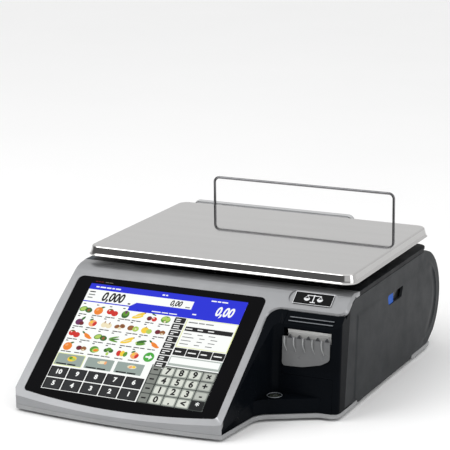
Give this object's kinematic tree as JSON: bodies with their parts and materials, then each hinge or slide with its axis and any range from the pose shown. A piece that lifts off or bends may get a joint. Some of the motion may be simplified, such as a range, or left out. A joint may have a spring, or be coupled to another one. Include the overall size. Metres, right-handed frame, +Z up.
{
  "type": "retail price scale",
  "caption": "Counter price scale: steel platter on a load cell, sloped touch screen for the seller, raked customer screen, and a label printer in a slide-out cassette.",
  "frame": {"origin": "under the middle of the scale, on the surface that its feet stand on", "axes": "+Z up, +X to the seller's right, +Y from the seller to the customer"},
  "size_m": [0.4284, 0.582, 0.232],
  "materials": {
    "silver_moulding": "satin metallic silver-grey paint with a fine grain",
    "slate_moulding": "matte dark slate, fine moulded texture",
    "black_moulding": "gloss blue-black",
    "badge_black": null,
    "screen_glass": "gloss black touch glass",
    "lcd": "lit screen",
    "level_glass": "clear yellow-green vial",
    "zinc_steel": "zinc-plated sheet",
    "stainless": "polished stainless, soft reflections",
    "stainless_wire": "bright drawn wire",
    "aluminium": "machined",
    "cast_metal": "painted casting",
    "brass": "turned",
    "black_steel": "black oxide",
    "circuit_board": "green solder mask",
    "gear_plastic": "natural acetal",
    "rating_paper": "plain label without lettering",
    "smoke_plastic": "smoky grey translucent moulding",
    "paper": "matte label paper",
    "cardboard": "kraft board",
    "polished_rod": "ground rod",
    "blue_plastic": "blue moulded button",
    "rubber": "matte black rubber"
  },
  "bodies": {
    "chassis": {"base_tray": "silver_moulding", "upper_housing": "slate_moulding", "front_bezel": "silver_moulding", "touch_glass": "screen_glass", "lcd_module": "lcd", "lcd_bracket": "zinc_steel", "printer_bay": "black_moulding", "level_vial": "black_moulding", "level_lens": "level_glass", "front_badge": "badge_black", "drum_housing": "black_moulding", "drum_badge": "badge_black", "rear_panel": "black_moulding", "chassis_plate": "zinc_steel", "load_cell_pedestal": "cast_metal", "load_cell": "aluminium", "spider_post": "cast_metal", "platter_spider": "zinc_steel", "platter_pads": "rubber", "overload_stops": "brass", "load_cell_bolts": "black_steel", "main_board": "circuit_board", "heatsink": "aluminium", "power_supply": "zinc_steel", "power_inlet": "black_moulding", "port_sockets": "zinc_steel", "slide_bushes": "gear_plastic", "housing_screws": "black_steel", "rating_plate": "rating_paper", "display_bracket": "black_moulding", "display_case": "black_moulding", "display_bezel": "silver_moulding", "display_glass": "screen_glass", "display_lcd": "lcd", "display_caps": "black_moulding"},
    "platter": {"platter": "stainless", "guard_wire": "stainless_wire"},
    "cassette": {"side_panel": "slate_moulding", "cassette_frame": "zinc_steel", "cassette_cover": "black_moulding", "label_flap": "smoke_plastic", "label_web": "paper", "slide_rods": "polished_rod", "drive_motor": "black_steel", "roll_hub": "black_moulding"},
    "latch": {"latch_button": "blue_plastic"},
    "label_roll": {"label_roll": "paper", "roll_core": "cardboard"},
    "rewind_spool": {"rewind_spool": "gear_plastic"},
    "platen": {"platen_roller": "rubber", "platen_gear": "gear_plastic"},
    "idler": {"idler_gear": "gear_plastic"},
    "pinion": {"motor_pinion": "brass"},
    "print_lever": {"head_lever": "zinc_steel", "print_head": "aluminium"},
    "switch": {"power_switch": "black_moulding"},
    "foot_fl": {"foot_front_left": "rubber"},
    "foot_fr": {"foot_front_right": "rubber"},
    "foot_rl": {"foot_rear_left": "rubber"},
    "foot_rr": {"foot_rear_right": "rubber"}
  },
  "joints": [
    {"name": "platter_lift", "type": "slide", "parent": "chassis", "child": "platter", "axis": [0, 0, 1], "range_m": [0, 0.08]},
    {"name": "cassette_slide", "type": "slide", "parent": "chassis", "child": "cassette", "axis": [1, 0, 0], "range_m": [0, 0.09]},
    {"name": "latch_slide", "type": "slide", "parent": "cassette", "child": "latch", "axis": [0, 1, 0], "range_m": [0, 0.03], "stiffness_N_per_m": 120, "springref_m": -0.01},
    {"name": "roll_spin", "type": "hinge", "parent": "cassette", "child": "label_roll", "pos_m": [0.17, 0.181, 0.081], "axis": [1, 0, 0], "continuous": true},
    {"name": "rewind_spin", "type": "hinge", "parent": "cassette", "child": "rewind_spool", "pos_m": [0.17, 0.06, 0.08], "axis": [1, 0, 0], "continuous": true},
    {"name": "platen_spin", "type": "hinge", "parent": "cassette", "child": "platen", "pos_m": [0.168, -0.1241, 0.088], "axis": [1, 0, 0], "continuous": true},
    {"name": "idler_spin", "type": "hinge", "parent": "cassette", "child": "idler", "pos_m": [0.208, -0.08808, 0.07929], "axis": [1, 0, 0], "continuous": true},
    {"name": "pinion_spin", "type": "hinge", "parent": "cassette", "child": "pinion", "pos_m": [0.185, -0.06214, 0.06044], "axis": [1, 0, 0], "continuous": true},
    {"name": "head_open", "type": "hinge", "parent": "cassette", "child": "print_lever", "pos_m": [0.168, -0.088, 0.122], "axis": [1, 0, 0], "range_deg": [0, 20], "stiffness_Nm_per_rad": 0.5, "springref_deg": -11.46},
    {"name": "switch_rock", "type": "hinge", "parent": "chassis", "child": "switch", "pos_m": [-0.12, 0.205, 0.062], "axis": [1, 0, 0], "range_deg": [-16, 0]},
    {"name": "foot_turn_fl", "type": "hinge", "parent": "chassis", "child": "foot_fl", "pos_m": [-0.185, -0.24, 0.004], "axis": [0, 0, 1], "continuous": true},
    {"name": "foot_turn_fr", "type": "hinge", "parent": "chassis", "child": "foot_fr", "pos_m": [0.195, -0.105, 0.004], "axis": [0, 0, 1], "continuous": true},
    {"name": "foot_turn_rl", "type": "hinge", "parent": "chassis", "child": "foot_rl", "pos_m": [-0.185, 0.205, 0.004], "axis": [0, 0, 1], "continuous": true},
    {"name": "foot_turn_rr", "type": "hinge", "parent": "chassis", "child": "foot_rr", "pos_m": [0.118, 0.205, 0.004], "axis": [0, 0, 1], "continuous": true}
  ],
  "couplings": [
    {"joint": "platen_spin", "follows": "roll_spin", "ratio": -7.25},
    {"joint": "idler_spin", "follows": "roll_spin", "ratio": 3.9271},
    {"joint": "pinion_spin", "follows": "roll_spin", "ratio": -11.781},
    {"joint": "rewind_spin", "follows": "roll_spin", "ratio": -2.9}
  ]
}
